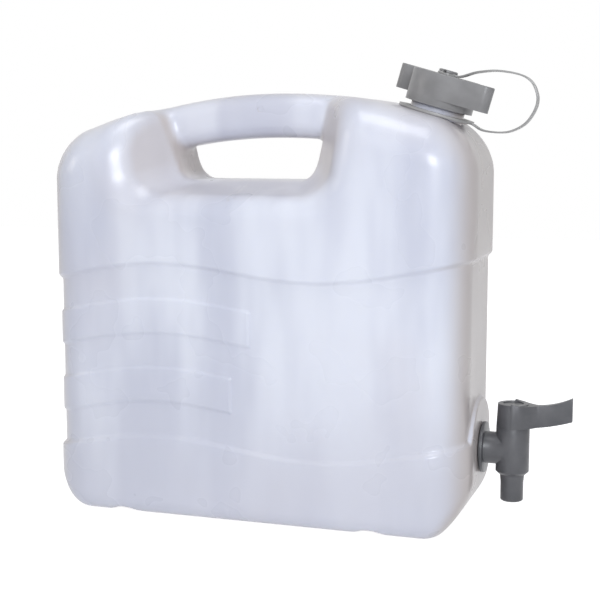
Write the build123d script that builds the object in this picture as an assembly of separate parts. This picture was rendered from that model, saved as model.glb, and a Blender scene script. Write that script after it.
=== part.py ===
from build123d import *
from math import asin, atan2, cos, hypot, radians, sin, sqrt, tan
import os

os.makedirs("parts", exist_ok=True)

# Units are millimetres. +X runs along the can towards the tap, +Z is up, and the XZ plane is
# the can's mould parting plane. The origin is the middle of the base.

# The can's main block
can_length = 350.0
can_depth = 133.0
wall = 2.2
corner_radius = 35.5
base_edge_radius = 14.0
shoulder_edge_radius = 34.0
base_left_radius = 38.0
base_right_radius = 45.0
base_trim = 0.6
top_left_radius = 25.0
top_right_radius = 33.0

# The top line, seen from the front: two arcs that meet at the crown, a tighter bend, and a
# straight shoulder that is square to the neck
crown_x = 8.0
crown_z = 340.0
crown_left_radius = 430.0
crown_right_radius = 560.0
bend_start_x = 85.0
bend_radius = 195.0
neck_tilt = 16.0

# The waisted belt round the middle of the can, between two parallel waves
belt_depth = 3.3
belt_height = 139.0
wave_left_z = 190.0
wave_crest = (-70.0, 206.0)
wave_trough = (46.0, 194.2)
wave_right_z = 212.5
grip_height = 1.6
grip_ends = (3.0, -13.0)
belt_bands = 5

# The handle and the hollow under it
handle_height = 35.2
handle_width = 38.0
handle_edge_radius = 15.0
handle_rise = 0.4
opening_left = -68.0
opening_right = 41.5
opening_floor = 271.5
opening_lean_left = 18.0
opening_lean_right = 13.5
opening_corner_radius = 9.0
ledge_slope = 17.5
scoop_left_slope = 38.0
scoop_right_slope = 29.5
scoop_lean_left = 3.0
scoop_lean_right = 9.0
scoop_corner_radius = 18.0
scoop_mouth_radius = 14.0
pin_mark = (-3.0, 327.5)
pin_mark_radius = 2.5
pin_mark_depth = 0.6

# The feet are parted by two grooves across the base
base_groove_x = (-109.0, 99.0)
base_groove_width = 22.0
base_groove_depth = 4.0

# The neck stands square on the shoulder, and heights along it are taken from the shoulder
neck_x = 135.0
neck_radius = 21.2
neck_bore_radius = 18.4
neck_bore_depth = 12.0
neck_root_depth = 10.0
neck_height = 26.8
collar_radius = 25.5
collar_height = 0.3

# The strap: a ring under the cap, a flat band and an eyelet on the cap
strap_ring_radius = 30.0
strap_ring_thickness = 2.1
strap_width = 8.0
strap_thickness = 1.4
eyelet_radius = 8.0
strap_path = (
    (160.3, 316.2), (164.2, 314.7), (169.6, 311.2), (177.3, 309.2), (185.0, 308.6),
    (191.0, 309.0), (198.0, 311.3), (204.0, 315.0), (209.0, 321.0), (212.3, 327.7),
    (213.3, 334.4), (212.4, 338.9), (209.2, 345.7), (203.9, 350.2), (197.8, 352.6),
    (187.9, 354.6), (180.3, 355.3), (172.6, 354.9), (165.4, 354.0), (158.8, 352.2),
    (153.2, 351.1), (149.2, 351.8),
)

# The filler cap
cap_foot_height = 6.6
cap_height = 24.8
cap_radius = 26.6
cap_bore_radius = 23.6
cap_top_thickness = 2.6
cap_edge_size = 0.6
wing_reach = 42.0
wing_thickness = 13.0
wing_height = 19.5
wing_root_radius = 3.0
seal_radius = 23.0
stud_post_radius = 3.6
stud_head_radius = 7.4
stud_head_lift = 0.2
stud_head_thickness = 2.2
stud_head_chamfer = 0.7
stud_slot_width = 2.4
stud_slot_turn = -11.0

# The tap on the end wall
tap_z = 62.4
tap_pad_radius = 40.0
tap_seat_radius = 25.0
tap_hole_radius = 13.3
gasket_radius = 18.0
gasket_thickness = 1.0
flange_radius = 20.0
flange_thickness = 2.4
spigot_radius = 13.0
spigot_length = 18.0
spigot_bore_radius = 8.5
tap_reach = 21.2
stub_radius = 12.6
barrel_radius = 13.0
barrel_top = 80.0
barrel_bottom = 43.0
barrel_chamfer = 2.2
plug_bore_radius = 9.6
plug_floor = 46.0
nozzle_top_radius = 9.6
nozzle_radius = 8.9
nozzle_taper_bottom = 36.0
nozzle_bottom = 21.5
nozzle_bore_radius = 6.0
nozzle_edge_radius = 0.8
nut_radius = 20.5
nut_thickness = 7.0
spigot_bore_end = 186.0

# The lever and the plug below it
hub_top = 98.8
hub_top_radius = 12.0
hub_dish_radius = 8.0
hub_dish_depth = 0.8
lever_reach = 45.6
lever_rise = 7.0
lever_root_height = 1.2
lever_thickness = 7.0
lever_tip_thickness = 4.6
lever_tip_height = 18.4
lever_edge_radius = 1.0
lever_root_radius = 6.0
lever_dip = 1.6
port_radius = 5.4
ring_section = 1.6
ring_groove_width = 2.0
ring_heights = (73.6, 51.6)

# Clearances
nut_gap = 0.05
seat_gap = 0.05
running_gap = 0.06
strap_gap = 0.4


# Places that follow from the sizes
half_length = can_length / 2
half_depth = can_depth / 2
tilt = radians(neck_tilt)
beyond = 40.0
scoop_overrun = 3.0
scoop_mouth_turns = (0, 20, 36, 50, 62, 73, 80)


def crown_line(x, inset=0.0):
    """Height of the top line above the base, inset square to itself."""
    if x < crown_x:
        radius = crown_left_radius
        return crown_z - radius + sqrt((radius - inset) ** 2 - (x - crown_x) ** 2)
    radius = crown_right_radius
    centre_z = crown_z - radius
    start = asin((bend_start_x - crown_x) / radius)
    if x < crown_x + (radius - inset) * sin(start):
        return centre_z + sqrt((radius - inset) ** 2 - (x - crown_x) ** 2)
    bend_x = bend_start_x - bend_radius * sin(start)
    bend_z = centre_z + (radius - bend_radius) * cos(start)
    if x < bend_x + (bend_radius - inset) * sin(tilt):
        return bend_z + sqrt((bend_radius - inset) ** 2 - (x - bend_x) ** 2)
    straight_x = bend_x + (bend_radius - inset) * sin(tilt)
    straight_z = bend_z + (bend_radius - inset) * cos(tilt)
    return straight_z - (x - straight_x) * tan(tilt)


def top_height(x, inset=0.0):
    """Height of the can's top, with the rounded corners at both ends."""
    left = top_left_radius
    centre_x = left - half_length
    crown_centre = crown_z - crown_left_radius
    centre_z = crown_centre + sqrt((crown_left_radius - left) ** 2 - (centre_x - crown_x) ** 2)
    slope = atan2(crown_x - centre_x, centre_z - crown_centre)
    if x < centre_x - (left - inset) * sin(slope):
        return centre_z + sqrt(max((left - inset) ** 2 - (x - centre_x) ** 2, 0.0))
    right = top_right_radius
    centre_x = half_length - right
    centre_z = crown_line(centre_x) - right / cos(tilt)
    if x > centre_x + (right - inset) * sin(tilt):
        return centre_z + sqrt(max((right - inset) ** 2 - (x - centre_x) ** 2, 0.0))
    return crown_line(x, inset)


def base_height(x, inset=0.0):
    """Height of the can's underside, flat between its two rounded ends."""
    radius = base_left_radius if x < 0 else base_right_radius
    over = abs(x) - (half_length - radius)
    if over <= 0:
        return inset
    return radius - sqrt(max((radius - inset) ** 2 - over ** 2, 0.0))


def side_depth(x, inset=0.0):
    """Half the can's depth, which shrinks round the upright corners."""
    over = abs(x) - (half_length - corner_radius)
    if over <= 0:
        return half_depth - inset
    return half_depth - corner_radius + sqrt(max((corner_radius - inset) ** 2 - over ** 2, 0.0))


def block(inset=0.0):
    """The can's closed outer block, or the same block set in by a wall."""
    end_steps = (0.0, 0.7, 2.6, 6.0, 11.0, 17.0, 24.0, 32.0, 42.0)
    middle = (-106.0, -75.0, -45.0, -18.0, crown_x, 35.0, 62.0, bend_start_x, 108.0)
    length = half_length - inset
    stations = [-length + step for step in end_steps] + list(middle)
    stations += [length - step for step in reversed(end_steps)]
    sections = []
    for x in stations:
        depth = side_depth(x, inset)
        low, high = base_height(x, inset) - base_trim, top_height(x, inset)
        low_radius = min(base_edge_radius, depth - 2) - inset
        high_radius = min(shoulder_edge_radius, depth + inset - 2) - inset
        corners = [(-depth, low), (depth, low), (depth, high), (-depth, high)]
        radii = [low_radius, low_radius, high_radius, high_radius]
        with BuildSketch(Plane.YZ.offset(x)) as section:
            with BuildLine():
                FilletPolyline(*corners, radius=radii, close=True)
            make_face()
        sections.append(section.sketch)
    above_base = Pos(0, 0, inset) * Box(
        2 * can_length, 2 * can_depth, 2 * crown_z, align=(Align.CENTER, Align.CENTER, Align.MIN))
    return loft(sections) & above_base


def plan_prism(inset):
    """An upright prism with the can's plan, set in by an amount."""
    with BuildPart() as prism:
        with BuildSketch():
            RectangleRounded(can_length - 2 * inset, can_depth - 2 * inset, corner_radius - inset)
        extrude(amount=crown_z)
    return prism.part


def wave(drop):
    """The wave's line in the XZ plane, lowered by an amount."""
    reach = half_length + beyond
    run_left = (wave_crest[1] - wave_left_z) / (wave_crest[0] + half_length)
    run_right = (wave_right_z - wave_trough[1]) / (half_length - wave_trough[0])
    points = [
        (-reach, wave_left_z - drop - 1.4 * run_left * beyond),
        (-half_length, wave_left_z - drop),
        (wave_crest[0], wave_crest[1] - drop),
        (wave_trough[0], wave_trough[1] - drop),
        (half_length, wave_right_z - drop),
        (reach, wave_right_z - drop + 1.2 * run_right * beyond),
    ]
    return points


def wave_slab(top_drop, bottom_drop):
    """Everything between two copies of the wave, through the can's whole depth."""
    upper, lower = wave(top_drop), wave(bottom_drop)
    with BuildPart() as slab:
        with BuildSketch(Plane.XZ.offset(-can_depth)):
            with BuildLine():
                top = Spline(*upper)
                bottom = Spline(*lower)
                Line(top @ 0, bottom @ 0)
                Line(top @ 1, bottom @ 1)
            make_face()
        extrude(amount=2 * can_depth)
    return slab.part


def tap_cylinder(radius, from_x, to_x):
    """A cylinder on the tap's level axis."""
    plane = Plane(origin=(from_x, 0, tap_z), z_dir=(1, 0, 0))
    return extrude(plane * Circle(radius), amount=to_x - from_x)


def belt_ring(inset=0.0):
    """What the belt takes off the block; with an inset, what it takes off the hollow."""
    slab = wave_slab(-inset, belt_height + inset)
    core = plan_prism(belt_depth + inset)
    if inset == 0:
        band = belt_height / belt_bands
        for number, end_x in enumerate(grip_ends):
            top_drop = band * (2 * number + 1)
            grip = plan_prism(belt_depth - grip_height) & wave_slab(top_drop, top_drop + band)
            grip &= Pos(end_x - can_length, 0, crown_z / 2) * Box(2 * can_length, 2 * can_depth, crown_z)
            core += grip
        core += tap_cylinder(tap_pad_radius, 0, half_length + beyond)
    else:
        slab += tap_cylinder(tap_seat_radius, 0, half_length + beyond)
    return slab - core


def gap_outline(y, runs, drop, leans, corner):
    """The hand hole's outline at a depth: wider by two runs and lower by a drop."""
    low = opening_floor - drop
    high = crown_z + beyond
    left, right = opening_left - runs[0], opening_right + runs[1]
    points = [
        (left - (high - low) * tan(radians(leans[0])), high),
        (left, low),
        (right, low),
        (right + (high - low) * tan(radians(leans[1])), high),
    ]
    with BuildSketch(Plane.XZ.offset(-y)) as outline:
        with BuildLine():
            FilletPolyline(*points, radius=corner, close=True)
        make_face()
    return outline.sketch


def opening_prism(inset=0.0):
    """The hand hole straight through the can, below and above the handle."""
    leans = (opening_lean_left, opening_lean_right)
    corner = opening_corner_radius + inset
    outline = gap_outline(-can_depth, (inset, inset), inset, leans, corner)
    return extrude(outline, amount=-2 * can_depth)


def handle_bar(inset=0.0):
    """The handle's rounded bar, which the scoops leave standing."""
    reach = (-150.0, 110.0)
    steps = [reach[0] + (reach[1] - reach[0]) * i / 8 for i in range(9)]
    top = [(x, crown_line(x, inset) + handle_rise) for x in steps]
    foot = [(x, crown_line(x, handle_height - inset)) for x in reversed(steps)]
    with BuildPart() as bar:
        with BuildSketch(Plane.XZ.offset(-(handle_width / 2 - inset))):
            with BuildLine():
                upper = Spline(*top)
                lower = Spline(*foot)
                Line(upper @ 1, lower @ 0)
                Line(lower @ 1, upper @ 0)
            make_face()
        extrude(amount=handle_width - 2 * inset)
        long_edges = bar.edges().filter_by(lambda e: e.length > (reach[1] - reach[0]) * 0.9)
        fillet(long_edges, handle_edge_radius - inset)
    return bar.part


def flare(y, slope, inset):
    """How far a scoop's wall has run out at a depth: straight, then round a mouth."""
    slope = radians(slope)
    radius = scoop_mouth_radius - inset
    centre_y = half_depth - scoop_mouth_radius
    straight = inset / cos(slope) + (y - handle_width / 2) * tan(slope)
    meet_y = centre_y + radius * sin(slope)
    if y <= meet_y:
        return straight
    centre = inset / cos(slope) + (meet_y - handle_width / 2) * tan(slope) + radius * cos(slope)
    turn = asin(min((y - centre_y) / radius, 1.0))
    return centre - radius * cos(turn)


def scoop(side, inset=0.0):
    """The hollow beside the handle, on the front (-1) or the back (+1)."""
    start = handle_width / 2 - inset
    radius = scoop_mouth_radius - inset
    centre_y = half_depth - scoop_mouth_radius
    depths = [start] + [centre_y + radius * sin(radians(turn)) for turn in scoop_mouth_turns]
    outlines = []
    for y in depths:
        share = (y - start) / (half_depth - start)
        left = opening_lean_left + (scoop_lean_left - opening_lean_left) * share
        right = opening_lean_right + (scoop_lean_right - opening_lean_right) * share
        runs = (flare(y, scoop_left_slope, inset), flare(y, scoop_right_slope, inset))
        drop = flare(y, ledge_slope, inset)
        outlines.append(gap_outline(side * y, runs, drop, (left, right), scoop_corner_radius))
    run_on = scoop_overrun * tan(radians(scoop_mouth_turns[-1]))
    runs = (runs[0] + run_on, runs[1] + run_on)
    lip = side * (depths[-1] + scoop_overrun)
    outlines.append(gap_outline(lip, runs, drop + run_on, (left, right), scoop_corner_radius))
    return loft(outlines, ruled=True)


def base_groove(x, inset=0.0):
    """A shallow round groove across the underside."""
    depth = base_groove_depth
    radius = ((base_groove_width / 2) ** 2 + depth ** 2) / (2 * depth)
    plane = Plane(origin=(x, -can_depth, depth - radius), z_dir=(0, 1, 0))
    return extrude(plane * Circle(radius + inset), amount=2 * can_depth)


def hollow(inset):
    """The can's form without its neck, as a skin (inset 0) or as the space inside the wall."""
    body = block(inset)
    handle = handle_bar(inset) & body
    for side in (-1, 1):
        body -= scoop(side, inset)
    body -= opening_prism(inset)
    body += handle
    body -= belt_ring(inset)
    for x in base_groove_x:
        body -= base_groove(x, inset)
    return body


# The neck's own frame: its local Z runs up the neck from the shoulder
neck_frame = Plane(
    origin=(neck_x, 0, crown_line(neck_x)),
    x_dir=(cos(tilt), 0, -sin(tilt)),
    z_dir=(sin(tilt), 0, cos(tilt)),
)


def on_neck(radius, low, high):
    """A disc or cylinder on the neck's axis between two heights."""
    return extrude(neck_frame.offset(low) * Circle(radius), amount=high - low)


def make_can():
    """The blow-moulded can in one piece, with its hollow handle and its neck."""
    skin = hollow(0)
    skin += on_neck(neck_radius, -neck_root_depth, neck_height)
    skin += on_neck(collar_radius, -neck_root_depth, collar_height)
    can = skin - hollow(wall)
    can -= on_neck(neck_bore_radius, -neck_bore_depth, neck_height)
    can -= tap_cylinder(tap_hole_radius, half_length - beyond / 2, half_length + beyond)
    mark = Plane(origin=(pin_mark[0], -handle_width / 2, pin_mark[1]), z_dir=(0, -1, 0))
    can -= extrude(mark * Circle(pin_mark_radius), amount=-pin_mark_depth)
    return can


# Heights of the cap's parts along the neck
cap_top = cap_foot_height + cap_height
cap_ceiling = cap_top - cap_top_thickness
eyelet_low = cap_top + seat_gap
eyelet_high = eyelet_low + strap_thickness
stud_head_low = eyelet_high + stud_head_lift
stud_top = stud_head_low + stud_head_thickness


def wing_plan():
    """The cap seen from above: a round drum and two wings set like a pinwheel."""
    plan = Circle(cap_radius)
    length = wing_reach + wing_thickness / 2
    middle = (length - wing_thickness) / 2
    for turn in (0, 180):
        wing = Pos(middle, wing_thickness / 2 - cap_radius) * SlotOverall(length, wing_thickness)
        plan += Rot(0, 0, turn) * wing
    plan = offset(plan, wing_root_radius)
    return offset(plan, -wing_root_radius)


def make_cap():
    """The wing cap with the split stud that holds the strap's eyelet."""
    shoulder = cap_top - cap_edge_size
    cap = on_neck(cap_radius, cap_foot_height, shoulder)
    plan = wing_plan()
    cap += extrude(neck_frame.offset(cap_top - wing_height) * plan, amount=wing_height - cap_edge_size)
    cap += extrude(neck_frame.offset(shoulder) * plan, amount=cap_edge_size, taper=45)
    cap -= on_neck(cap_bore_radius, cap_foot_height, cap_ceiling)
    head = on_neck(stud_head_radius, stud_head_low, stud_top)
    end = head.faces().sort_by(Axis(neck_frame.origin, neck_frame.z_dir))[-1]
    stud = on_neck(stud_post_radius, cap_top, stud_head_low) + chamfer(end.edges(), stud_head_chamfer)
    slot = Rot(0, 0, stud_slot_turn) * Rectangle(stud_slot_width, 4 * stud_head_radius)
    stud -= extrude(neck_frame.offset(cap_top) * slot, amount=stud_top - cap_top)
    return cap + stud


def make_seal():
    """The flat liner between the neck's rim and the cap's ceiling."""
    return on_neck(seal_radius, neck_height + seat_gap, cap_ceiling - seat_gap)


def band_outline(points, half):
    """Two lines on either side of a line of points."""
    above, below = [], []
    for i, (x, z) in enumerate(points):
        before, after = points[max(i - 1, 0)], points[min(i + 1, len(points) - 1)]
        run, rise = after[0] - before[0], after[1] - before[1]
        length = hypot(run, rise)
        above.append((x - half * rise / length, z + half * run / length))
        below.append((x + half * rise / length, z - half * run / length))
    return above, below


def make_strap():
    """The cap strap in one moulding: the ring on the neck, the band and the eyelet."""
    above, below = band_outline(strap_path, strap_thickness / 2)
    with BuildPart() as band:
        with BuildSketch(Plane.XZ.offset(-strap_width / 2)):
            with BuildLine():
                outer, inner = Spline(*above), Spline(*below)
                Line(outer @ 0, inner @ 0)
                Line(outer @ 1, inner @ 1)
            make_face()
        extrude(amount=strap_width)
    ring_top = collar_height + strap_ring_thickness
    hole = neck_radius + strap_gap
    ring = on_neck(strap_ring_radius, collar_height, ring_top)
    eyelet = on_neck(eyelet_radius, eyelet_low, eyelet_high)
    strap = band.part + ring + eyelet
    strap -= on_neck(hole, collar_height, ring_top + strap_ring_thickness)
    strap -= on_neck(stud_post_radius + strap_gap, cap_top, stud_head_low)
    strap -= on_neck(stud_head_radius + strap_gap, eyelet_high, stud_top)
    return strap - on_neck(cap_radius + strap_gap, cap_foot_height, eyelet_low)


# Places on the tap
flange_x = half_length + gasket_thickness
tap_x = flange_x + flange_thickness + tap_reach
ring_major_radius = plug_bore_radius - seat_gap - ring_section / 2
groove_radius = ring_major_radius - ring_section / 2 - seat_gap
plug_radius = plug_bore_radius - running_gap


def on_tap(radius, low, high):
    """A disc or cylinder on the tap's upright axis between two heights."""
    return extrude(Plane.XY.offset(low) * Pos(tap_x, 0) * Circle(radius), amount=high - low)


def cone_on_tap(low_radius, high_radius, low, high):
    """A cone on the tap's upright axis between two heights."""
    return Pos(tap_x, 0, (low + high) / 2) * Cone(low_radius, high_radius, high - low)


def make_tap_body():
    """The tap's body: spigot, flange, stub, upright barrel and hose nozzle."""
    body = tap_cylinder(spigot_radius, half_length - spigot_length + gasket_thickness, flange_x)
    body += tap_cylinder(flange_radius, flange_x, flange_x + flange_thickness)
    body += tap_cylinder(stub_radius, flange_x, tap_x)
    body += on_tap(barrel_radius, barrel_bottom + barrel_chamfer, barrel_top)
    body += cone_on_tap(barrel_radius - barrel_chamfer, barrel_radius,
                        barrel_bottom, barrel_bottom + barrel_chamfer)
    body += cone_on_tap(nozzle_radius, nozzle_top_radius, nozzle_taper_bottom, barrel_bottom)
    body += on_tap(nozzle_radius, nozzle_bottom + nozzle_edge_radius, nozzle_taper_bottom)
    body += cone_on_tap(nozzle_radius - nozzle_edge_radius, nozzle_radius,
                        nozzle_bottom, nozzle_bottom + nozzle_edge_radius)
    body -= on_tap(plug_bore_radius, plug_floor, barrel_top)
    body -= on_tap(nozzle_bore_radius, nozzle_bottom, plug_floor)
    body -= tap_cylinder(spigot_bore_radius, half_length - spigot_length, spigot_bore_end)
    return body - tap_cylinder(port_radius, spigot_bore_end, tap_x)


def make_gasket():
    """The rubber washer between the can and the tap's flange."""
    ring = tap_cylinder(gasket_radius, half_length, flange_x)
    return ring - tap_cylinder(tap_hole_radius, half_length, flange_x)


def make_nut():
    """The hexagon nut that holds the tap from inside the can."""
    seat_x = half_length - belt_depth - wall
    plane = Plane(origin=(seat_x - nut_thickness, 0, tap_z), z_dir=(1, 0, 0))
    nut = extrude(plane * RegularPolygon(nut_radius, 6), amount=nut_thickness)
    return nut - tap_cylinder(spigot_radius + nut_gap, seat_x - nut_thickness, seat_x)


def lever_blade():
    """The flat grip that runs out level from the hub and rises towards its tip."""
    low, top = barrel_top + seat_gap, hub_top + lever_root_height
    tip_low = low + lever_rise
    tip_top = tip_low + lever_tip_height
    tip_x = tap_x + lever_reach
    middle_x = tap_x + lever_reach / 2
    with BuildPart() as blade:
        with BuildSketch(Plane.XZ.offset(-barrel_radius)):
            with BuildLine():
                upper = Spline((tap_x, top), (middle_x, top - lever_dip), (tip_x, tip_top))
                lower = Spline((tap_x, low), (middle_x, low + lever_dip), (tip_x, tip_low))
                Line(upper @ 0, lower @ 0)
                Line(upper @ 1, lower @ 1)
            make_face()
        extrude(amount=2 * barrel_radius)
    root, tip = lever_thickness / 2, lever_tip_thickness / 2
    flare_x = tap_x + barrel_radius + lever_root_radius
    plan = Plane.XY.offset(low) * make_face(Polyline(
        (tap_x, barrel_radius), (tap_x + barrel_radius / 2, barrel_radius - 1),
        (flare_x, root), (tip_x, tip), (tip_x, -tip), (flare_x, -root),
        (tap_x + barrel_radius / 2, 1 - barrel_radius), (tap_x, -barrel_radius), close=True))
    return blade.part & extrude(plan, amount=hub_top)


def make_lever():
    """The lever with its hub and the hollow plug that turns inside the tap."""
    low = barrel_top + seat_gap
    lever = cone_on_tap(barrel_radius, hub_top_radius, low, hub_top)
    lever += lever_blade()
    lever -= on_tap(hub_dish_radius, hub_top - hub_dish_depth, hub_top + lever_root_height * 2)
    lever += on_tap(plug_radius, plug_floor + seat_gap, low)
    lever -= on_tap(port_radius, plug_floor, tap_z + port_radius)
    cross = Plane(origin=(tap_x, -barrel_radius, tap_z), z_dir=(0, 1, 0))
    lever -= extrude(cross * Circle(port_radius), amount=2 * barrel_radius)
    for height in ring_heights:
        low, high = height - ring_groove_width / 2, height + ring_groove_width / 2
        lever -= on_tap(barrel_radius, low, high) - on_tap(groove_radius, low, high)
    return lever


def make_plug_ring(height):
    """A rubber ring in one of the plug's grooves."""
    return Pos(tap_x, 0, height) * Torus(ring_major_radius, ring_section / 2)


def export(name, part):
    solids = part.solids()
    shape = solids[0] if len(solids) == 1 else Compound(children=list(solids))
    shape.label = name
    export_step(shape, "parts/" + name + ".step")
    print(name, len(solids), round(sum(s.volume for s in solids) / 1000, 2), "cm3")


if __name__ == "__main__":
    export("can_body", make_can())
    export("filler_cap", make_cap())
    export("cap_seal", make_seal())
    export("cap_strap", make_strap())
    export("tap_body", make_tap_body())
    export("tap_gasket", make_gasket())
    export("tap_nut", make_nut())
    export("tap_lever", make_lever())
    export("plug_ring_upper", make_plug_ring(ring_heights[0]))
    export("plug_ring_lower", make_plug_ring(ring_heights[1]))
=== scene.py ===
from math import cos, pi, radians, sin, tan

import bmesh
import bpy
import numpy as np
from mathutils import Matrix, Vector


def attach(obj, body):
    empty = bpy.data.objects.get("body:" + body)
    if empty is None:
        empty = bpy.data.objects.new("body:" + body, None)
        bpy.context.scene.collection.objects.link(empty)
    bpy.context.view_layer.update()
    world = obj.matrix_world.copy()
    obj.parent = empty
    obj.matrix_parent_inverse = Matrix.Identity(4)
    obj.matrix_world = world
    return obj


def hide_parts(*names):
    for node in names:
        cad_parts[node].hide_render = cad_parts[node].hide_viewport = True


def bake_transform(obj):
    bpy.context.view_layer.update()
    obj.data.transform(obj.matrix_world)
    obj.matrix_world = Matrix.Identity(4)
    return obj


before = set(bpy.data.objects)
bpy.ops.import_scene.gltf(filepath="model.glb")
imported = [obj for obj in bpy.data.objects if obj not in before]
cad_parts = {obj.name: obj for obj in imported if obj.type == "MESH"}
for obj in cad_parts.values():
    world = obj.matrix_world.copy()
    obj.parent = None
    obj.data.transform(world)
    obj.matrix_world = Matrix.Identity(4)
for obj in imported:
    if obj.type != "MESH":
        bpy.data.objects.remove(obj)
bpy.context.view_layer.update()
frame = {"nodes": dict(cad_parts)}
nodes = frame["nodes"]
print("CAD nodes:", ", ".join(nodes))

# %% [markdown]
# # A water can with a tap
# The object is a blow-moulded polyethylene can. It has a winged screw cap on a strap, and a
# lever tap with a hose nozzle on one end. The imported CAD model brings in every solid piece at
# its real size and place, in metres. This lesson keeps those places and gives the pieces
# their looks: soft moulded forms, screw threads, small moulding marks and plastics that
# catch the light as the real ones do.
#
# Every tree of nodes below, for a shape or for a material, needs sums. Wiring Math nodes by
# hand is slow and hard to read, so the first helper wraps a socket in a small class. Plus,
# minus and times are then written as usual, and each one adds the node it stands for.

# %% A value in a node tree
class Value:
    """A socket that can be used in sums. Each sum adds a Math node to the socket's tree."""

    def __init__(self, tree, socket):
        self.tree = tree
        self.socket = socket

    def node(self, kind, inputs=None, output=0, **settings):
        """Adds any other node to this tree, fills its inputs and gives one of its outputs."""
        made = self.tree.nodes.new(kind)
        for name, setting in settings.items():
            setattr(made, name, setting)
        for name, value in (inputs or {}).items():
            fill(self.tree, made.inputs[name], value)
        return Value(self.tree, made.outputs[output])

    def math(self, operation, *values):
        """Adds a Math node."""
        return self.node("ShaderNodeMath", dict(enumerate(values)), operation=operation)

    def __add__(self, other):
        return self.math("ADD", self, other)

    def __radd__(self, other):
        return self.math("ADD", other, self)

    def __sub__(self, other):
        return self.math("SUBTRACT", self, other)

    def __rsub__(self, other):
        return self.math("SUBTRACT", other, self)

    def __mul__(self, other):
        return self.math("MULTIPLY", self, other)

    def __rmul__(self, other):
        return self.math("MULTIPLY", other, self)

    def larger(self, other):
        return self.math("MAXIMUM", self, other)

    def smaller(self, other):
        return self.math("MINIMUM", self, other)

    def ramp(self, low, high):
        """0 below the low value, 1 above the high one, and smooth between them."""
        return self.node("ShaderNodeMapRange", {"Value": self, "From Min": low, "From Max": high},
                         interpolation_type="SMOOTHSTEP")

    def parts(self):
        """The three parts of a vector."""
        split = self.node("ShaderNodeSeparateXYZ", {0: self})
        return [Value(self.tree, split.socket.node.outputs[i]) for i in range(3)]


def fill(tree, socket, value):
    """Links a Value to a socket, or sets the socket to a plain number or colour."""
    if isinstance(value, Value):
        tree.links.new(value.socket, socket)
    else:
        socket.default_value = value


print("sums on sockets are ready")

# %% [markdown]
# ## Plastics
# A moulded plastic is never one flat colour. The can is milky: light goes a little way in,
# and the wall is faintly blue. The plastic looks warmer where it is thick or turned away. Here
# that is painted shade: a warm beige on the faces turned from the front. A greyer painted
# shade lies towards the bottom. Its skin has a very fine grain from the mould and a slow
# waviness from blowing. The cap and the tap are a satin grey with small changes of gloss.
# Each finish below is one function that starts from Object coordinates, so that the pattern
# is fixed to the piece.

# %% Colours and the start of a material
def from_screen(red, green, blue):
    """A colour given as screen values of 0 to 255, as the linear values that shaders use."""
    def linear(level):
        level = level / 255
        return level / 12.92 if level <= 0.04045 else ((level + 0.055) / 1.055) ** 2.4
    return (linear(red), linear(green), linear(blue), 1.0)


print("screen grey 128 in linear light:", round(from_screen(128, 128, 128)[0], 3))


def new_plastic(name, **constants):
    """A material with a Principled shader, its constants, and the piece's own coordinates."""
    material = bpy.data.materials.new(name)
    material.use_nodes = True
    tree = material.node_tree
    shader = tree.nodes["Principled BSDF"]
    for socket, value in constants.items():
        shader.inputs[socket.replace("_", " ")].default_value = value
    place = Value(tree, tree.nodes.new("ShaderNodeTexCoord").outputs["Object"])
    return material, shader, place


def noise(place, scale, detail=2.0):
    """Soft random values about 0.5, with a scale in features per metre."""
    return place.node("ShaderNodeTexNoise", {"Vector": place, "Scale": scale, "Detail": detail})


def mix(amount, first, second):
    """Goes from the first colour to the second as the amount goes from 0 to 1."""
    made = amount.node("ShaderNodeMix", data_type="RGBA")
    node = made.socket.node
    fill(amount.tree, node.inputs[0], amount)
    fill(amount.tree, node.inputs[6], first)
    fill(amount.tree, node.inputs[7], second)
    return Value(amount.tree, node.outputs[2])


def bump(height, depth, normal=None):
    """Turns a height in 0 to 1 into a normal, with the depth of the marks in metres."""
    inputs = {"Height": height, "Distance": depth, "Strength": 1.0}
    if normal is not None:
        inputs["Normal"] = normal
    return height.node("ShaderNodeBump", inputs)


# %% Milky polyethylene
milk_shade, milk_light = from_screen(206, 209, 223), from_screen(232, 235, 245)
# painted shade: the second colour on this line greys the bottom of the can
milk_thin, painted_low_shade = from_screen(214, 212, 220), from_screen(206, 207, 217)
# painted shade: a warm beige for the faces turned from the front
painted_turned_shade = from_screen(202, 192, 186)


def milky_plastic():
    """The can's wall: pale and faintly blue with a fine mould grain, and painted shade on turned faces
    and low down.
    """
    material, shader, place = new_plastic(
        "milky_polyethylene", Subsurface_Weight=0.10, Subsurface_Scale=0.003, IOR=1.5,
        Specular_IOR_Level=0.6)
    tree = material.node_tree
    shader.inputs["Subsurface Radius"].default_value = (0.7, 0.75, 0.9)
    normal = Value(tree, tree.nodes.new("ShaderNodeTexCoord").outputs["Normal"])
    across, _, up = normal.parts()
    height = place.parts()[2]
    # painted shade: the share of warm beige grows on faces turned from the front
    turned_shade_amount = (across * across + 0.5 * up * up).ramp(low=0.15, high=0.95)
    # painted shade: darker and greyer towards the bottom
    low_shade_amount = 1 - height.ramp(low=0.0, high=0.16)
    upright_streaks = place.node("ShaderNodeMapping", {"Vector": place, "Scale": (1.0, 1.0, 0.22)})
    cloud = noise(upright_streaks, scale=16.0, detail=3.0)
    thin = noise(place, scale=7.0)
    colour = mix(cloud.ramp(low=0.38, high=0.66), milk_shade, milk_light)
    colour = mix(thin.ramp(low=0.45, high=0.75) * 0.6, colour, milk_thin)
    # mixes in the painted shade low on the can
    colour = mix(low_shade_amount * 0.6, colour, painted_low_shade)
    # mixes in the painted shade of the faces turned from the front
    colour = mix(turned_shade_amount * 0.85, colour, painted_turned_shade)
    fill(tree, shader.inputs["Base Color"], colour)
    fill(tree, shader.inputs["Roughness"], 0.24 + 0.08 * noise(place, scale=20.0))
    wavy = bump(noise(place, scale=12.0, detail=0.0), depth=0.0016)
    grain = bump(noise(place, scale=900.0), depth=0.000006, normal=wavy)
    fill(tree, shader.inputs["Normal"], grain)
    return material


milky = milky_plastic()
print("finish:", milky.name)

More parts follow.
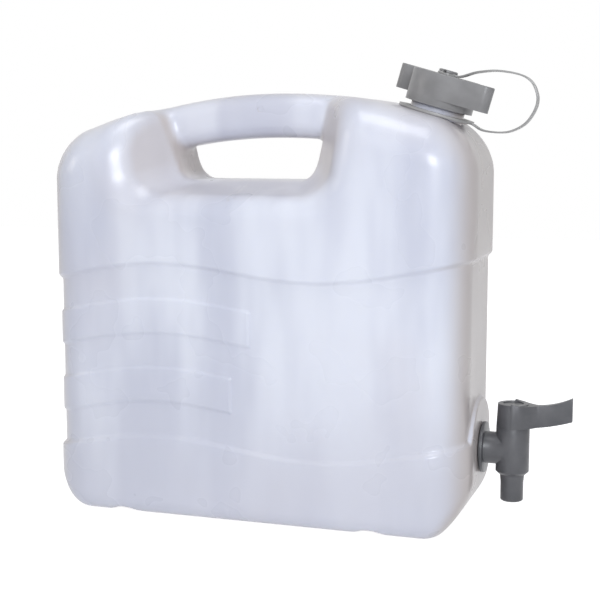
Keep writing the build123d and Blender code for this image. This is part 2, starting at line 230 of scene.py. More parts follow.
# %% Grey plastic, rubber and foam
def grey_plastic(name="grey_plastic", dark=(78, 79, 82), light=(94, 94, 97)):
    """The cap and tap: satin grey polyethylene with faint flow marks and a little gloss."""
    material, shader, place = new_plastic(name, IOR=1.5, Specular_IOR_Level=0.5)
    tree = material.node_tree
    flow = noise(place, scale=45.0, detail=4.0)
    colour = mix(flow.ramp(low=0.3, high=0.7), from_screen(*dark), from_screen(*light))
    fill(tree, shader.inputs["Base Color"], colour)
    fill(tree, shader.inputs["Roughness"], 0.27 + 0.16 * noise(place, scale=220.0))
    wavy = bump(noise(place, scale=70.0), depth=0.0004)
    grain = bump(noise(place, scale=2200.0), depth=0.00002, normal=wavy)
    fill(tree, shader.inputs["Normal"], grain)
    return material


def black_rubber():
    """The washer and the plug's rings: matt black with a dusty bloom."""
    material, shader, place = new_plastic("black_rubber", IOR=1.5, Specular_IOR_Level=0.3)
    tree = material.node_tree
    bloom = noise(place, scale=300.0, detail=4.0).ramp(low=0.4, high=0.8)
    colour = mix(bloom, from_screen(26, 26, 27), from_screen(46, 46, 47))
    fill(tree, shader.inputs["Base Color"], colour)
    fill(tree, shader.inputs["Roughness"], 0.62 + 0.2 * bloom)
    fill(tree, shader.inputs["Normal"], bump(noise(place, scale=1500.0), depth=0.00003))
    return material


def pale_foam():
    """The cap's liner: closed-cell foam with fine pores."""
    material, shader, place = new_plastic("pale_foam", IOR=1.45, Specular_IOR_Level=0.3)
    tree = material.node_tree
    pores = place.node("ShaderNodeTexVoronoi", {"Vector": place, "Scale": 1400.0})
    colour = mix(pores.ramp(low=0.0, high=0.6), from_screen(196, 194, 188), from_screen(222, 220, 214))
    fill(tree, shader.inputs["Base Color"], colour)
    fill(tree, shader.inputs["Roughness"], 0.7 + 0.1 * pores)
    fill(tree, shader.inputs["Normal"], bump(pores, depth=0.00005))
    return material


grey = grey_plastic()
cap_grey = grey_plastic("cap_plastic", (126, 125, 125), (142, 141, 141))
strap_grey = grey_plastic("strap_plastic", (146, 145, 143), (166, 165, 163))
rubber = black_rubber()
foam = pale_foam()
print("finishes:", [m.name for m in (grey, cap_grey, strap_grey, rubber, foam)])

# %% [markdown]
# ## The can as a formula
# The can is one soft form: a block with wide rounded edges, a hand hole, two scoops beside
# the handle and the handle itself, and everywhere the faces run into each other in a soft
# bend. Cutting and rounding such a form edge by edge is fragile. Here it is written as a
# distance formula instead: a number for every point in space that is negative in the
# plastic, zero on its skin and positive outside. Two forms are joined or cut with the larger
# or smaller of their numbers, and a rounded version of these two sums gives every soft bend
# its radius. The sizes are those of the CAD model, in millimetres.

# %% The can's sizes
half_length, half_depth = 175.0, 66.5
upright_edge, shoulder_edge, base_edge = 35.5, 34.0, 14.0
base_ends = (38.0, 45.0)
top_ends = (25.0, 33.0)
crown = (8.0, 340.0)
crown_radii = (430.0, 560.0)
bend_start, bend_radius = 85.0, 195.0
tilt = radians(16.0)
hole_ends = (-68.0, 41.5)
hole_floor, hole_corner = 271.5, 9.0
hole_leans = (radians(18.0), radians(13.5))
scoop_slopes = (radians(38.0), radians(29.5))
scoop_leans = (radians(9.0), radians(11.0))
scoop_corner, ledge_slope, mouth_edge = 18.0, radians(17.5), 14.0
handle_width, handle_height, handle_edge, handle_root = 38.0, 35.2, 15.0, 9.0
ledge_edge, groove_edge = 2.0, 2.0
groove_middles, groove_width, groove_depth = (-109.0, 99.0), 22.0, 4.0
wall = 5.5
tiny = 1e-6
print("can:", 2 * half_length, "x", 2 * half_depth, "x", crown[1], "mm")


# %% Sums on distances
def both(a, b, radius):
    """Where two forms overlap, with the edge between them rounded."""
    over_a, over_b = np.maximum(radius + a, 0), np.maximum(radius + b, 0)
    return np.minimum(-radius, np.maximum(a, b)) + np.hypot(over_a, over_b)


def either(a, b, radius):
    """Two forms joined, with the corner between them filled."""
    return -both(-a, -b, radius)


def top_surface(x, z):
    """Distance above the can's top line: two arcs, a tighter bend and a straight shoulder."""
    left, right = crown_radii
    start = np.arcsin((bend_start - crown[0]) / right)
    bend_x = bend_start - bend_radius * sin(start)
    bend_z = crown[1] - right + (right - bend_radius) * cos(start)
    over_left = np.hypot(x - crown[0], z - crown[1] + left) - left
    over_right = np.hypot(x - crown[0], z - crown[1] + right) - right
    over_bend = np.hypot(x - bend_x, z - bend_z) - bend_radius
    over_shoulder = (x - bend_x) * sin(tilt) + (z - bend_z) * cos(tilt) - bend_radius
    turn = np.arctan2(x - bend_x, z - bend_z)
    far = np.where(turn > tilt, over_shoulder, np.where(turn > start, over_bend, over_right))
    return np.where(x < crown[0], over_left, far)


def top_height(x):
    """Height of the top line above the base, found by stepping onto its surface."""
    z = np.full_like(x, crown[1])
    for step in range(4):
        z = z - top_surface(x, z)
    return z


print("top line at the can's middle:", round(float(top_height(np.array([0.0]))[0]), 1), "mm")


# %% Block, scoops and handle
def block(x, y, z):
    """The can's outer block. Its top and base edges are rounder at the ends than at the sides."""
    end, side = np.abs(x) - half_length, np.abs(y) - half_depth
    plan = both(end, side, upright_edge)
    end_part = np.maximum(upright_edge + end, 0) ** 2
    share = end_part / (end_part + np.maximum(upright_edge + side, 0) ** 2 + tiny)
    base_radius = base_edge + share * (np.where(x < 0, *base_ends) - base_edge)
    top_radius = shoulder_edge + share * (np.where(x < 0, *top_ends) - shoulder_edge)
    return np.maximum(both(plan, top_surface(x, z), top_radius), both(plan, -z, base_radius))


def gap(x, z, floor, ends, leans, slopes, corner):
    """An opening seen from the front, between two leaning walls and a floor."""
    left = (ends[0] - (z - floor) * tan(leans[0]) - x) * cos(slopes[0]) * cos(leans[0])
    right = (x - ends[1] - (z - floor) * tan(leans[1])) * cos(slopes[1]) * cos(leans[1])
    low = (floor - z) * cos(slopes[2])
    return np.maximum(both(left, low, corner), both(right, low, corner))


def scoops(x, y, z):
    """The hollows on both sides of the handle, wider and deeper towards the can's faces."""
    out = np.abs(y) - handle_width / 2
    ends = (hole_ends[0] - out * tan(scoop_slopes[0]), hole_ends[1] + out * tan(scoop_slopes[1]))
    floor = hole_floor - out * tan(ledge_slope)
    return gap(x, z, floor, ends, scoop_leans, (*scoop_slopes, ledge_slope), scoop_corner)


def handle_bar(x, y, z):
    """The handle: what is left between two sides and an underside that follows the top line."""
    underside = top_height(x) - handle_height - z
    return both(np.abs(y) - handle_width / 2, underside, handle_edge)


def base_grooves(x, z):
    """Two shallow round grooves across the base."""
    radius = ((groove_width / 2) ** 2 + groove_depth ** 2) / (2 * groove_depth)
    return np.minimum(*(np.hypot(x - middle, z - groove_depth + radius) - radius
                        for middle in groove_middles))


def can_form(x, y, z):
    """The whole can without its belt and neck, as a distance in millimetres."""
    hole = gap(x, z, hole_floor, hole_ends, hole_leans, (0, 0, 0), hole_corner)
    opened = either(scoops(x, y, z), hole, ledge_edge)
    kept = either(-opened, handle_bar(x, y, z), handle_root)
    form = both(block(x, y, z), kept, mouth_edge)
    return both(form, -base_grooves(x, z), groove_edge)


print("distance at the middle of the can:", float(can_form(*np.array([[0.0], [0.0], [150.0]]))[0]))

# %% [markdown]
# A formula has no faces yet. The next cell lays a grid of small cells over it. Every cell
# that the skin passes through gets one point, and four neighbours make a face. The points
# are then moved onto the skin exactly, along the slope of the formula, and are evened out
# between two such moves. Marching cubes or a voxel remesh would also do, but they leave
# thin triangles or a stepped surface.

# %% From a formula to a mesh
def slope(form, points, step=0.05):
    """The formula's value at some points and the direction in which it grows."""
    value = form(*points.T)
    grown = []
    for axis in range(3):
        moved = points.copy()
        moved[:, axis] += step
        grown.append((form(*moved.T) - value) / step)
    return value, np.stack(grown, axis=1)


def onto_skin(form, points, rounds=3, flattest=0.2, longest=2.0):
    """Moves points onto the formula's skin, in steps that are no longer than a limit."""
    for step in range(rounds):
        value, rise = slope(form, points)
        length = np.maximum((rise ** 2).sum(axis=1), flattest)
        points = points - np.clip(value / length, -longest, longest)[:, None] * rise
    return points


def grid_mesh(form, low, high, cell):
    """One point for each cell on the skin, and a four-sided face for each grid edge through it."""
    axes = [np.arange(a, b + cell, cell) for a, b in zip(low, high)]
    values = form(*np.meshgrid(*axes, indexing="ij"))
    inside = values < 0
    shape = tuple(n - 1 for n in values.shape)
    corners = [inside[i:i + shape[0], j:j + shape[1], k:k + shape[2]]
               for i in (0, 1) for j in (0, 1) for k in (0, 1)]
    count = sum(c.astype(int) for c in corners)
    cut = (count > 0) & (count < 8)
    number = np.full(shape, -1)
    number[cut] = np.arange(cut.sum())
    points = np.stack([axes[a][index] + cell / 2 for a, index in enumerate(np.nonzero(cut))], axis=1)
    faces = []
    for axis in range(3):
        one, two = (axis + 1) % 3, (axis + 2) % 3
        first = np.take(inside, range(values.shape[axis] - 1), axis)
        second = np.take(inside, range(1, values.shape[axis]), axis)
        crossing = np.argwhere(first != second)
        leaving = first[tuple(crossing.T)]
        ring = []
        for a, b in ((0, 0), (-1, 0), (-1, -1), (0, -1)):
            cells = crossing.copy()
            cells[:, one] += a
            cells[:, two] += b
            ring.append(number[tuple(cells.T)])
        quads = np.stack(ring, axis=1)
        quads[~leaving] = quads[~leaving][:, ::-1]
        faces.append(quads)
    return points, np.concatenate(faces)


def evened(points, faces, share=0.5):
    """Moves each point part of the way to the middle of its neighbours."""
    total, count = np.zeros_like(points), np.zeros(len(points))
    for a, b in ((0, 1), (1, 2), (2, 3), (3, 0)):
        for here, there in ((a, b), (b, a)):
            np.add.at(total, faces[:, here], points[faces[:, there]])
            np.add.at(count, faces[:, here], 1)
    return points + share * (total / count[:, None] - points)


def skin_mesh(form, cell, low, high, rounds=4):
    """The formula's skin as even four-sided faces."""
    points, faces = grid_mesh(form, low, high, cell)
    points = onto_skin(form, points)
    for step in range(rounds):
        points = onto_skin(form, evened(points, faces), 2)
    return points, faces


skin_cell, margin = 3.0, 6.0
reach = (half_length + margin, half_depth + margin)
low, high = (-reach[0], -reach[1], -margin), (reach[0], reach[1], crown[1] + margin)
skin_points, skin_faces = skin_mesh(can_form, skin_cell, low, high)
print("skin:", len(skin_points), "points,", len(skin_faces), "faces")

# %% [markdown]
# ## The waisted belt and its grips
# A belt runs round the can between two waves. It lies 3.3 mm deeper than the rest. On the left
# two bands stand out of it as grips, and at the right end it leaves a round pad for the tap.
# Such steps are too fine for the grid. The mesh is therefore first cut along a few lines at
# each step, so that it has points exactly where the step starts, bends and ends. The skin is
# then pressed in by a depth that follows the same lines. The step stays clean, however it runs
# across the faces.

# %% The belt's lines
belt_depth, belt_height, step_width = 3.3, 139.0, 5.0
wave_points = ((-215.0, 181.5), (-175.0, 190.0), (-70.0, 206.0), (46.0, 194.2), (175.0, 212.5),
               (215.0, 219.3))
grip_rise, grip_ends, grip_step = 1.6, (3.0, -13.0), 3.0
band_height = belt_height / 5
tap_height, pad_radius, pad_step = 62.4, 40.0, 3.0


def smooth_curve(points):
    """A curve through some points with no jump in its bend, as a function of x."""
    x, z = np.array(points).T
    gaps, rises = np.diff(x), np.diff(z) / np.diff(x)
    sums = np.eye(len(x))
    right = np.zeros(len(x))
    for i in range(1, len(x) - 1):
        sums[i, i - 1:i + 2] = gaps[i - 1], 2 * (gaps[i - 1] + gaps[i]), gaps[i]
        right[i] = 6 * (rises[i] - rises[i - 1])
    bend = np.linalg.solve(sums, right)

    def height(at):
        i = np.clip(np.searchsorted(x, at) - 1, 0, len(gaps) - 1)
        a, b = at - x[i], x[i + 1] - at
        curved = (bend[i] * b ** 3 + bend[i + 1] * a ** 3) / (6 * gaps[i])
        ends = z[i] / gaps[i] - bend[i] * gaps[i] / 6, z[i + 1] / gaps[i] - bend[i + 1] * gaps[i] / 6
        return curved + ends[0] * b + ends[1] * a

    return height


wave = smooth_curve(wave_points)


def ease(value, middle, width):
    """0 before a step, 1 after it, and a smooth rise across its width."""
    share = np.clip((value - middle) / width + 0.5, 0, 1)
    return share * share * (3 - 2 * share)


def fields(points):
    """What the belt's lines follow: the drop below the wave, the run to the right and the
    distance from the tap's axis."""
    x, y, z = points.T
    from_tap = np.where(x > 0, np.hypot(y, z - tap_height), 10 * pad_radius)
    return {"drop": wave(x) - z, "run": x, "from_tap": from_tap}


def belt_depth_at(points):
    """How deep the skin is pressed in at each point."""
    f = fields(points)
    belt = ease(f["drop"], 0, step_width) * (1 - ease(f["drop"], belt_height, step_width))
    depth = belt_depth * belt * ease(f["from_tap"], pad_radius, pad_step)
    for number, end in enumerate(grip_ends):
        top = band_height * (2 * number + 1)
        band = ease(f["drop"], top, grip_step) * (1 - ease(f["drop"], top + band_height, grip_step))
        depth -= grip_rise * band * (1 - ease(f["run"], end, grip_step))
    return depth


print("wave at the can's middle:", round(float(wave(np.array([0.0]))[0]), 1), "mm")


# %% Cut the mesh along the lines
def cut_along(points, triangles, value):
    """Splits the triangles that a line runs through. The value is zero on the line."""
    above = value > 0
    mixed = above[triangles].any(axis=1) & ~above[triangles].all(axis=1)
    cut, kept = triangles[mixed], triangles[~mixed]
    side = above[cut]
    lone = np.where(side.sum(axis=1) == 1, side.argmax(axis=1), (~side).argmax(axis=1))
    rows = np.arange(len(cut))
    a, b, c = cut[rows, lone], cut[rows, (lone + 1) % 3], cut[rows, (lone + 2) % 3]
    pairs = np.sort(np.concatenate([np.stack([a, b], 1), np.stack([a, c], 1)]), axis=1)
    edges, which = np.unique(pairs, axis=0, return_inverse=True)
    start, end = value[edges[:, 0]], value[edges[:, 1]]
    share = (start / (start - end))[:, None]
    added = points[edges[:, 0]] * (1 - share) + points[edges[:, 1]] * share
    p, q = (which.reshape(-1) + len(points)).reshape(2, -1)
    pieces = [kept, np.stack([a, p, q], 1), np.stack([p, b, c], 1), np.stack([p, c, q], 1)]
    return np.concatenate([points, added]), np.concatenate(pieces)


def lines_at(middle, width, count=6):
    """Where the mesh is cut across one step."""
    return middle + width * (np.linspace(-0.5, 0.5, count))


belt_lines = [("drop", line) for edge in (0, belt_height) for line in lines_at(edge, step_width)]
belt_lines += [("drop", line) for n in range(1, 5) for line in lines_at(n * band_height, grip_step, 4)]
belt_lines += [("run", line) for end in grip_ends for line in lines_at(end, grip_step, 4)]
belt_lines += [("from_tap", line) for line in lines_at(pad_radius, pad_step, 4)]

triangles = np.concatenate([skin_faces[:, [0, 1, 2]], skin_faces[:, [0, 2, 3]]])
points = skin_points
for name, line in belt_lines:
    value = fields(points)[name] - line
    points, triangles = cut_along(points, triangles, np.where(np.abs(value) < tiny, tiny, value))
points = onto_skin(can_form, points, 2)
value, rise = slope(can_form, points)
outward = rise / np.linalg.norm(rise, axis=1)[:, None]
points = points - belt_depth_at(points)[:, None] * outward
print("skin after the cuts:", len(triangles), "triangles")

# %% [markdown]
# The can is hollow. A second, coarser skin 5.5 mm further in becomes the inside, and a cut
# with it leaves the wall. This inside leaves out the belt, so the wall is 5.5 mm thick outside
# the belt and 2.2 mm, as in the CAD model, in it. The neck is turned round its own axis, which
# leans 16 degrees, and joined on. Blender's Manifold solver is made for closed meshes such as
# these, and is faster on them than its exact solver.

# %% Mesh helpers
mm = 0.001
print("metres in a millimetre:", mm)


def object_from(name, points, faces, scale=mm):
    """A new object with these points and faces."""
    mesh = bpy.data.meshes.new(name)
    mesh.from_pydata([tuple(p) for p in np.asarray(points) * scale], [], [tuple(f) for f in faces])
    mesh.update()
    made = bpy.data.objects.new(name, mesh)
    bpy.context.collection.objects.link(made)
    return made


def settle(piece):
    """Applies a piece's modifiers, so that a plain mesh is left."""
    plain = bpy.data.meshes.new_from_object(piece.evaluated_get(bpy.context.evaluated_depsgraph_get()))
    piece.modifiers.clear()
    piece.data = plain
    return piece


def combine(piece, other, operation):
    """Joins a closed piece with another one or cuts it, and takes the other one away."""
    step = piece.modifiers.new(operation, "BOOLEAN")
    step.operation = operation
    step.solver = "MANIFOLD"
    step.object = other
    settle(piece)
    bpy.data.objects.remove(other)
    return piece


def turned(name, outline, place, sides=96):
    """A closed solid turned from an outline of (radius, height) points round a place's Z axis."""
    rings = len(outline)
    angles = [2 * pi * i / sides for i in range(sides)]
    points = [place @ Vector((r * cos(a), r * sin(a), h)) for a in angles for r, h in outline]
    faces = []
    for i in range(sides):
        here, there = i * rings, (i + 1) % sides * rings
        for j in range(rings):
            k = (j + 1) % rings
            faces.append((here + j, there + j, there + k, here + k))
    return object_from(name, [tuple(p) for p in points], faces)


def shade(piece, angle):
    """Smooth shading, with a crease where faces meet at more than an angle in degrees."""
    piece.data.polygons.foreach_set("use_smooth", [True] * len(piece.data.polygons))
    piece.data.set_sharp_from_angle(angle=radians(angle))
    return piece


# %% The neck's place
neck_x = 135.0
neck_z = float(top_height(np.array([neck_x]))[0])
neck_place = Matrix.Translation((neck_x, 0, neck_z)) @ Matrix.Rotation(tilt, 4, "Y")
neck_radius, neck_bore, neck_height = 21.2, 18.4, 26.8
collar_radius, collar_height = 25.5, 0.3
print("neck stands at x", neck_x, "z", round(neck_z, 2), "mm")

# %% The neck, its bore and the other cutting tools
on_axis = 0.001
neck_sink, collar_sink, root_fillet = 4.0, 1.0, (0.6, 0.8)
lip_edge, lip_bulge, lip_inner_edge = 1.0, 0.3, 0.6
bore_sink, bore_rise = 12.0, 2.0
tap_hole_radius, tap_hole_depth, tap_hole_length = 13.3, 12.0, 20.0
mark_x, mark_z, mark_depth, mark_radii = -3.0, 327.5, 0.6, (2.5, 2.7)
mark_length, mark_sides = 2.0, 24

neck_outline = [
    (neck_bore, -wall - neck_sink), (neck_radius, -wall - neck_sink), (neck_radius, -collar_sink),
    (collar_radius, -collar_sink), (collar_radius, collar_height),
    (neck_radius + root_fillet[0], collar_height), (neck_radius, collar_height + root_fillet[1]),
    (neck_radius, neck_height - lip_edge), (neck_radius - lip_bulge, neck_height - lip_bulge),
    (neck_radius - lip_edge, neck_height), (neck_bore + lip_inner_edge, neck_height),
    (neck_bore, neck_height - lip_inner_edge),
]
bore_outline = [
    (on_axis, -wall - bore_sink), (neck_bore, -wall - bore_sink),
    (neck_bore, neck_height + bore_rise), (on_axis, neck_height + bore_rise),
]
tap_hole_outline = [
    (on_axis, 0), (tap_hole_radius, 0), (tap_hole_radius, tap_hole_length), (on_axis, tap_hole_length),
]
mark_outline = [
    (on_axis, 0), (mark_radii[0], 0), (mark_radii[1], mark_depth), (mark_radii[1], mark_length),
    (on_axis, mark_length),
]
tap_axis = Matrix.Translation((half_length - tap_hole_depth, 0, tap_height))
tap_axis = tap_axis @ Matrix.Rotation(pi / 2, 4, "Y")
mark_axis = Matrix.Translation((mark_x, mark_depth - handle_width / 2, mark_z))
mark_axis = mark_axis @ Matrix.Rotation(pi / 2, 4, "X")
print("neck outline:", len(neck_outline), "points")

# %% Hollow can with its neck
inner_cell = 7.0
inner_points, inner_faces = skin_mesh(lambda x, y, z: can_form(x, y, z) + wall, inner_cell, low, high)
can = object_from("can_skin", points, triangles)
combine(can, object_from("can_inside", inner_points, inner_faces), "DIFFERENCE")
combine(can, turned("bore", bore_outline, neck_place), "DIFFERENCE")
combine(can, turned("neck", neck_outline, neck_place), "UNION")
combine(can, turned("tap_hole", tap_hole_outline, tap_axis), "DIFFERENCE")
combine(can, turned("mark", mark_outline, mark_axis, mark_sides), "DIFFERENCE")
print("can:", len(can.data.polygons), "faces")

# %% Put the can in place
can_crease = 50
shade(can, can_crease)
can.data.materials.clear()
can.data.materials.append(milky)
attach(can, "can")
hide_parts("can_body")
print("can in place")

# %% [markdown]
# ## Softened mouldings
# The CAD pieces have knife-sharp edges. A moulded edge is slightly round, and that thin round
# band is what catches the light. Each of these pieces is a copy of its CAD mesh. Its flat
# triangles are first merged into whole faces, and a small bevel then rounds the sharp edges.

# %% Round the edges of the cap, strap and tap
finishes = {"filler_cap": cap_grey, "cap_strap": strap_grey, "tap_body": grey, "tap_lever": grey}
soft_edges = {"filler_cap": 0.45, "cap_strap": 0.25, "tap_body": 0.3, "tap_lever": 0.45}
bodies_of = {"filler_cap": "cap", "cap_strap": None, "tap_body": "can", "tap_lever": "lever"}
merge_distance, flat_angle = 0.002, 0.5
sharp_angle, bevel_steps = 40, 2


def softened(name, width):
    """A copy of a CAD piece with its edges rounded by a width in millimetres."""
    source = nodes[name]
    piece = bpy.data.objects.new(name + "_moulded", source.data.copy())
    bpy.context.collection.objects.link(piece)
    piece.matrix_world = source.matrix_world.copy()
    shape = bmesh.new()
    shape.from_mesh(piece.data)
    bmesh.ops.transform(shape, matrix=piece.matrix_world, verts=shape.verts)
    bmesh.ops.remove_doubles(shape, verts=shape.verts, dist=merge_distance * mm)
    bmesh.ops.dissolve_limit(shape, angle_limit=radians(flat_angle), verts=shape.verts,
                             edges=shape.edges)
    shape.to_mesh(piece.data)
    shape.free()
    piece.matrix_world = Matrix.Identity(4)
    bevel = piece.modifiers.new("round", "BEVEL")
    bevel.width = width * mm
    bevel.segments = bevel_steps
    bevel.limit_method = "ANGLE"
    bevel.angle_limit = radians(sharp_angle)
    settle(piece)
    shade(piece, sharp_angle)
    piece.data.materials.clear()
    piece.data.materials.append(finishes[name])
    return piece


moulded = {name: softened(name, width) for name, width in soft_edges.items()}
for name, body in bodies_of.items():
    if body:
        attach(moulded[name], body)
    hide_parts(name)
print("moulded:", ", ".join(moulded))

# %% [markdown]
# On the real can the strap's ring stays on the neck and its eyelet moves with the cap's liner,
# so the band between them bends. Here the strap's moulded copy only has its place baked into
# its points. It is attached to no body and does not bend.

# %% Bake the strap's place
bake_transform(moulded["cap_strap"])

# %% [markdown]
# ## Screw threads
# The neck carries a coarse outer thread and the cap the matching inner one. A thread is one
# profile that follows a helix, which suits a Geometry Nodes tree. A straight line of points
# is wound into a helix by its own index, and a small rounded profile is swept along it. The
# ends taper off, as a moulded thread's do. The same tree makes both threads from its named
# inputs.

# %% A tree for a thread
taper_rate, thinnest = 12, 0.15
ridge_sides = 10


def new_tree(name, inputs):
    """An empty geometry tree with named number inputs, and those inputs as values."""
    tree = bpy.data.node_groups.new(name, "GeometryNodeTree")
    tree.interface.new_socket("Geometry", in_out="OUTPUT", socket_type="NodeSocketGeometry")
    for label, value in inputs.items():
        kind = "NodeSocketMaterial" if label == "Finish" else "NodeSocketFloat"
        socket = tree.interface.new_socket(label, in_out="INPUT", socket_type=kind)
        if value is not None:
            socket.default_value = value
    source = tree.nodes.new("NodeGroupInput")
    return tree, {label: Value(tree, source.outputs[label]) for label in inputs}


def finish_tree(tree, geometry, finish):
    """Ends a tree with Realize Instances and Set Material."""
    real = geometry.node("GeometryNodeRealizeInstances", {"Geometry": geometry})
    painted = real.node("GeometryNodeSetMaterial", {"Geometry": real, "Material": finish})
    sink = tree.nodes.new("NodeGroupOutput")
    tree.links.new(painted.socket, sink.inputs[0])


def thread_tree():
    """A ridge wound round the Z axis: radius, start height, pitch, turns and ridge size."""
    tree, given = new_tree("screw_thread", {
        "Radius": 0.0212, "Start": 0.008, "Pitch": 0.006, "Turns": 2.0, "Ridge": 0.0012,
        "Points": 180.0, "Finish": None})
    source = given["Radius"]
    line = source.node("GeometryNodeCurvePrimitiveLine")
    line = line.node("GeometryNodeResampleCurve", {"Curve": line, "Count": given["Points"]})
    share = source.node("GeometryNodeSplineParameter", output=0)
    angle = share * given["Turns"] * (2 * pi)
    x = given["Radius"] * angle.math("COSINE", angle)
    y = given["Radius"] * angle.math("SINE", angle)
    z = given["Start"] + share * given["Turns"] * given["Pitch"]
    place = source.node("ShaderNodeCombineXYZ", {"X": x, "Y": y, "Z": z})
    helix = line.node("GeometryNodeSetPosition", {"Geometry": line, "Position": place})
    taper = (share * taper_rate).smaller((1 - share) * taper_rate).smaller(1.0).larger(thinnest)
    sized = helix.node("GeometryNodeSetCurveRadius", {"Curve": helix, "Radius": taper})
    ring = source.node("GeometryNodeCurvePrimitiveCircle",
                       {"Resolution": ridge_sides, "Radius": given["Ridge"]})
    swept = sized.node("GeometryNodeCurveToMesh", {"Curve": sized, "Profile Curve": ring,
                                                   "Fill Caps": True})
    smooth = swept.node("GeometryNodeSetShadeSmooth", {"Geometry": swept})
    finish_tree(tree, smooth, given["Finish"])
    return tree


def grown(name, tree, settings):
    """Runs a tree with some settings and keeps the result as a plain mesh."""
    piece = object_from(name, [(0, 0, 0)], [])
    maker = piece.modifiers.new("tree", "NODES")
    maker.node_group = tree
    for item in tree.interface.items_tree:
        if item.in_out == "INPUT" and item.name in settings:
            maker[item.identifier] = settings[item.name]
    return settle(piece)


def at_neck(piece):
    """Moves a piece that was made round the Z axis onto the neck."""
    foot = Matrix.Translation((neck_x * mm, 0, neck_z * mm))
    piece.data.transform(foot @ Matrix.Rotation(tilt, 4, "Y"))
    return piece


threads = thread_tree()
print("thread tree:", len(threads.nodes), "nodes")

# %% Threads on the neck and in the cap
pitch, turns = 6.0 * mm, 2.0
neck_start, neck_ridge = 11.0 * mm, 1.25 * mm
cap_start, cap_ridge = 8.6 * mm, 0.9 * mm
cap_bore = 23.6
neck_thread = at_neck(grown("neck_thread", threads, {
    "Radius": neck_radius * mm, "Start": neck_start, "Pitch": pitch, "Turns": turns,
    "Ridge": neck_ridge, "Finish": milky}))
cap_thread = at_neck(grown("cap_thread", threads, {
    "Radius": cap_bore * mm, "Start": cap_start, "Pitch": pitch, "Turns": turns,
    "Ridge": cap_ridge, "Finish": cap_grey}))
for piece, body, finish in ((neck_thread, "can", "can"), (cap_thread, "cap", "grey_plastic")):
    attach(piece, body)
print("threads:", len(neck_thread.data.polygons), "and", len(cap_thread.data.polygons), "faces")

# %% [markdown]
# ## Finishes on the CAD pieces
# The small inner pieces, such as the nut, the washer and the plug's rings, are right as the CAD
# model made them. They keep its mesh and only get a finish, which is set by replacing all of
# the mesh's material slots.

# %% Dress the CAD pieces
cad_finishes = {
    "cap_seal": foam, "tap_nut": grey, "tap_gasket": rubber,
    "plug_ring_upper": rubber, "plug_ring_lower": rubber,
}
for name, material in cad_finishes.items():
    mesh = nodes[name].data
    mesh.materials.clear()
    mesh.materials.append(material)
print("dressed:", ", ".join(cad_finishes))

# %% [markdown]
# ## The studio
# The photograph is a catalogue picture: a white background, soft light and no shadow. A pale
# floor takes the object's shadow here, and its own glow hides nearly all of it. The floor and
# the world look white only to rays that come from the camera, or that glossy or clear surfaces
# send on. The background is then white, and no extra light falls on the object.

# %% Floor and world
ambient_light = 0.28
floor_size, floor_drop, floor_glow, floor_roughness = 6.0, 0.0005, 0.85, 0.9


def for_camera(tree, plain, shown, output):
    """Gives one shader to camera, glossy and transmission rays, and the plain one to all others."""
    path = tree.nodes.new("ShaderNodeLightPath")
    camera_ray, glossy_ray, clear_ray = (Value(tree, path.outputs["Is " + kind + " Ray"])
                                         for kind in ("Camera", "Glossy", "Transmission"))
    choice = tree.nodes.new("ShaderNodeMixShader")
    fill(tree, choice.inputs["Fac"], camera_ray.larger(glossy_ray).larger(clear_ray))
    tree.links.new(plain, choice.inputs[1])
    tree.links.new(shown, choice.inputs[2])
    tree.links.new(choice.outputs[0], output)


world = bpy.data.worlds.new("studio")
bpy.context.scene.world = world
world.use_nodes = True
world_nodes = world.node_tree.nodes
ambient = world_nodes["Background"]
ambient.inputs["Color"].default_value = from_screen(250, 251, 255)
ambient.inputs["Strength"].default_value = ambient_light
white = world_nodes.new("ShaderNodeBackground")
white.inputs["Color"].default_value = (1, 1, 1, 1)
white.inputs["Strength"].default_value = 1.0
for_camera(world.node_tree, ambient.outputs[0], white.outputs[0], world_nodes["World Output"].inputs[0])

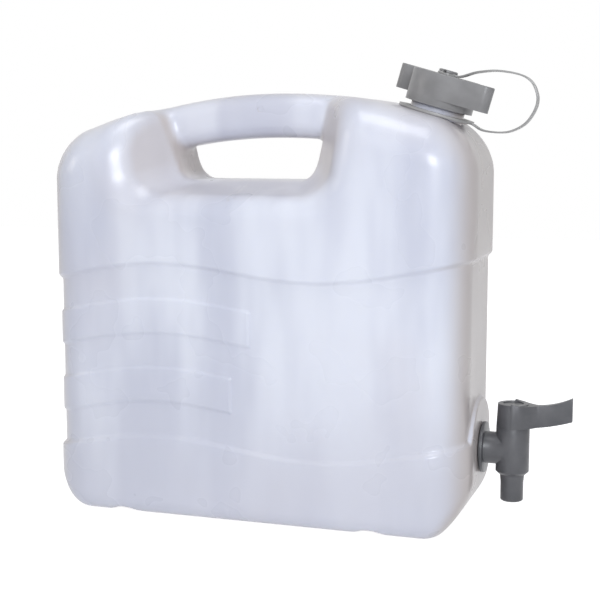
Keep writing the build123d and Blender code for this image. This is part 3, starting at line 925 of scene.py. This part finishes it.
bpy.ops.mesh.primitive_plane_add(size=floor_size, location=(0, 0, -floor_drop))
floor = bpy.context.object
floor.name = "floor"
floor_paint = bpy.data.materials.new("floor_paint")
floor_paint.use_nodes = True
floor_tree = floor_paint.node_tree
matt = floor_tree.nodes["Principled BSDF"]
matt.inputs["Base Color"].default_value = (0.85, 0.85, 0.86, 1)
matt.inputs["Roughness"].default_value = floor_roughness
glow = floor_tree.nodes.new("ShaderNodeEmission")
glow.inputs["Strength"].default_value = floor_glow
glowing = floor_tree.nodes.new("ShaderNodeAddShader")
floor_tree.links.new(matt.outputs[0], glowing.inputs[0])
floor_tree.links.new(glow.outputs[0], glowing.inputs[1])
for_camera(floor_tree, matt.outputs[0], glowing.outputs[0],
           floor_tree.nodes["Material Output"].inputs[0])
floor.data.materials.append(floor_paint)
print("floor and world set")

# %% [markdown]
# ## Lamps
# In the photograph the handle, the column at its left and the right shoulder carry soft
# highlights, so the light comes from large lamps in front and above. One square lamp in front
# is the main one here. A weaker one above and a warm one at the left light the other sides.
# Their powers are low enough for the pale plastic to keep its colour.

# %% Three soft lamps
lamp_list = [
    ("front_softbox", (0.5, -1.3, 0.6), (0.05, 0.0, 0.2), 0.45, 9.3, (0.92, 0.95, 1.0)),
    ("top_softbox", (0.05, -0.35, 1.3), (0.0, 0.0, 0.2), 0.5, 3.6, (0.95, 0.97, 1.0)),
    ("left_fill", (-1.1, -0.5, 0.6), (0.1, 0.0, 0.15), 0.4, 1.2, (1.0, 0.94, 0.88)),
]


def soft_lamp(name, place, target, size, power, colour):
    """A square area lamp that points at a target, with its size in metres and power in watts."""
    data = bpy.data.lights.new(name, "AREA")
    data.size = size
    data.energy = power
    data.color = colour
    lamp = bpy.data.objects.new(name, data)
    lamp.location = place
    lamp.rotation_euler = (Vector(target) - Vector(place)).to_track_quat("-Z", "Y").to_euler()
    bpy.context.collection.objects.link(lamp)
    return lamp


lamps = [soft_lamp(*lamp) for lamp in lamp_list]
print("lamps:", [lamp.name for lamp in lamps])

# %% [markdown]
# ## The camera
# The camera's place and lens were worked out from the photograph, so that the object covers
# the same part of the picture. The camera stands in front and a little to the right, turned 18
# degrees from square, and looks down by 7 degrees.

# %% Camera
camera_place = Vector((0.35146, -0.98366, 0.30126))
camera_aim = Vector((0.02367, 0.0, 0.17322))
camera_lens, sensor_width = 76.66, 36.0
camera_data = bpy.data.cameras.new("camera")
camera_data.lens = camera_lens
camera_data.sensor_width = sensor_width
camera = bpy.data.objects.new("camera", camera_data)
camera.location = camera_place
camera.rotation_euler = (camera_aim - camera_place).to_track_quat("-Z", "Y").to_euler()
bpy.context.collection.objects.link(camera)
bpy.context.scene.camera = camera
bpy.context.scene.view_settings.view_transform = "Standard"
print("camera at", tuple(camera_place))
